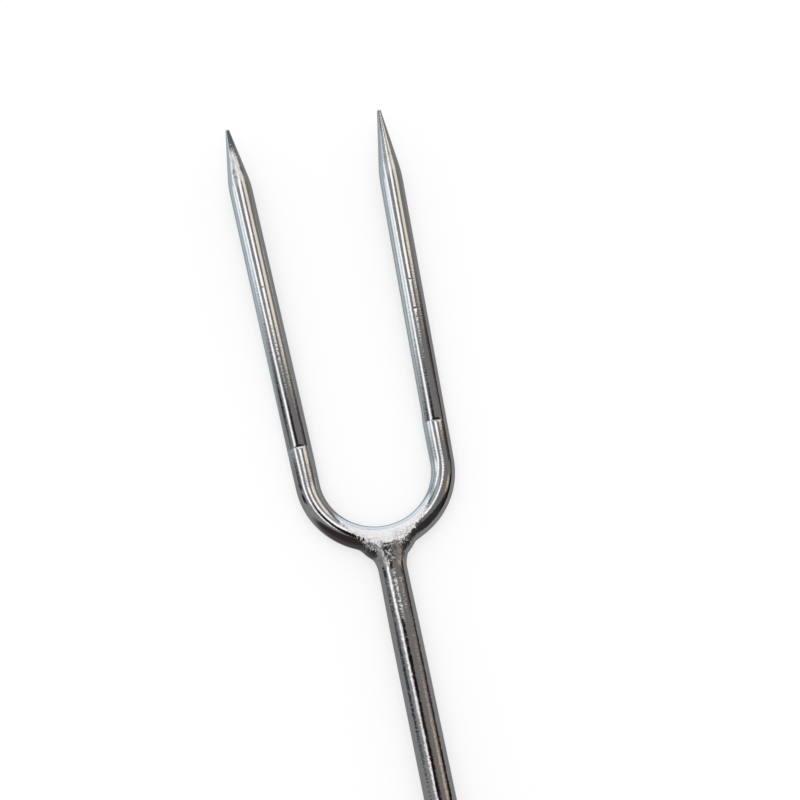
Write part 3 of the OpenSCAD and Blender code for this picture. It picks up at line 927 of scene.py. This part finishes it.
# Each pane of the place: degrees to the right of straight up, seen from the grip, how far these slant
# towards the tips, then the sine of its direction towards the tips, its colour, and how softly its
# far and near edges fade
PANES = [
    ("near_wall", (-180, 180), 0, (-2, -0.29), (0.035, 0.027, 0.027), 0.07),
    ("far_wall", (-160, 58), 0, (0.42, 2), (0.44, 0.46, 0.5), 0.05),
    ("far_grey", (-160, 58), 0, (0.56, 2), (0.27, 0.27, 0.28), 0.04),
    ("near_right", (-5, 180), 0, (-2, -0.2), (0.035, 0.03, 0.027), 0.06),
    ("grey_overhead", (8, 68), 0, (-0.16, 0.29), (0.18, 0.175, 0.17), 0.03),
    ("left_wall", (-140, -48), 0, (0.28, 2), (0.42, 0.5, 0.56), 0.04),
    ("left_window_low", (-112, -96), 0, (0.36, 0.9), (0.68, 0.78, 0.84), 0.04),
    ("left_window_high", (-80, -59), 0, (0.31, 0.47), (0.96, 1.06, 1.12), 0.04),
    ("overhead_left", (-34, -17), -52, (-0.1, 0.64), (1.18, 1.18, 1.18), 0.04),
    ("overhead_dim", (-34, -17), -52, (0.02, 0.07), (0.7, 0.66, 0.66), 0.02),
    ("overhead_right", (-7, 13), 0, (0.237, 0.66), (1.2, 1.2, 1.18), 0.025),
    ("bar_right", (20, 29), 0, (0.27, 0.5), (0.19, 0.19, 0.19), 0.03),
    ("right_window", (33, 58), 0, (0.263, 0.66), (0.9, 0.81, 0.66), 0.025),
    ("right_wall", (62, 180), 0, (0.3, 2), (0.19, 0.18, 0.175), 0.04),
    ("sill_right", (57, 76), 0, (0.18, 0.285), (0.07, 0.065, 0.06), 0.03),
    ("overhead_notch", (-19, -8), -52, (0.03, 0.12), (0.1, 0.09, 0.09), 0.02),
    ("dark_left", (-85, -57), 0, (0.17, 0.237), (0.01, 0.018, 0.03), 0.02),
    ("dark_left_low", (-86, -60), 0, (-0.01, 0.125), (0.01, 0.02, 0.035), 0.03),
    ("dark_centre", (-17, 5), 0, (-2, 0.19), (0.01, 0.006, 0.006), 0.03),
    ("dark_centre_low", (-10, 14), 0, (-2, -0.03), (0.03, 0.01, 0.012), 0.02),
    ("dark_right", (72, 95), 0, (-0.5, 0.29), (0.05, 0.033, 0.025), 0.04),
    ("black_right", (68, 98), 0, (-0.5, -0.01), (0.01, 0.006, 0.005), 0.03),
    ("wood_right", (45, 61), 0, (-0.15, 0.03), (0.6, 0.46, 0.34), 0.03),
    ("dark_beyond", (-45, 90), 0, (0.652, 0.74), (0.12, 0.12, 0.13), 0.008),
    ("bright_beyond", (-82, 82), 0, (0.77, 2), (0.98, 1.04, 1.12), 0.03),
]
PANES_BELOW = [
    ("near_floor", (-180, -88), 0, (-2, -0.3), (0.07, 0.065, 0.06), 0.15),
    ("pale_floor", (-168, -86), 0, (0.27, 0.68), (0.38, 0.42, 0.44), 0.04),
    ("paper_edge", (-116, -98), 0, (0.33, 0.64), (0.5, 0.56, 0.58), 0.04),
]
SOFT_EDGE = 3
WALL_GREY = 0.25
TABLE_GREY = 0.24
PAPER_BLUE = (0.8, 0.9, 0.96, 1)
ROOM_R = 30

bm = bmesh.new()
bmesh.ops.create_uvsphere(bm, u_segments=48, v_segments=24, radius=ROOM_R)
room = stage_mesh("room", bm)
room.matrix_world = fall
room.visible_camera = False
room.visible_diffuse = False
room.visible_shadow = False
room_light = bpy.data.materials.new("room_light")
room_light.use_nodes = True
room.data.materials.append(room_light)
wires = Wire(room_light.node_tree)
towards = wires.node("ShaderNodeVectorMath", {"operation": "NORMALIZE"},
                     {0: wires.node("ShaderNodeTexCoord", out=3)})
angle = wires.math("ARCTAN2", towards.part("Y") * -1, towards.part("Z")) * math.degrees(1)


def hung(colour, panes):
    """A colour of the room with panes hung before it, each over the ones named earlier."""
    for name, (low, high), slant, (near, far), pane, soft in panes:
        turned = angle - towards.part("X") * slant if slant else angle
        mask = turned.step(low - SOFT_EDGE, low + SOFT_EDGE) * turned.step(high + SOFT_EDGE, high - SOFT_EDGE)
        mask = mask * towards.part("X").step(near - soft, near + soft)
        mask = mask * towards.part("X").step(far + soft, far - soft)
        colour = mask.mix(colour, (*pane, 1))
    return colour


table = towards.part("X").step(0.7, 0.8).mix(grey(TABLE_GREY), PAPER_BLUE)
walls = hung(grey(WALL_GREY), PANES)
colour = towards.part("Z").step(0.0, -0.04).mix(walls, hung(table, PANES_BELOW))
glow = wires.node("ShaderNodeEmission", {}, {"Color": colour})
room_light.node_tree.links.new(glow.socket, room_light.node_tree.nodes["Material Output"].inputs[0])

FILL = 0.72
world = bpy.data.worlds.new("white_surround")
bpy.context.scene.world = world
world.use_nodes = True
wires = Wire(world.node_tree)
seen = in_view(wires)
background = world.node_tree.nodes["Background"]
world.node_tree.links.new(seen.mix(grey(FILL), grey(1)).socket, background.inputs["Color"])

LAMP_SIZE = 1.5
LAMP_PLACE = (0.1, 0.05, 1.6)
LAMP_POWER = 12
lamp = bpy.data.objects.new("overhead_lamp", bpy.data.lights.new("overhead_lamp", "AREA"))
bpy.context.collection.objects.link(lamp)
lamp.location = LAMP_PLACE
lamp.rotation_euler = Vector(LAMP_PLACE).to_track_quat("Z", "Y").to_euler()
lamp.data.size = LAMP_SIZE
lamp.data.energy = LAMP_POWER
lamp.visible_glossy = False

bpy.context.scene.view_settings.view_transform = "Standard"
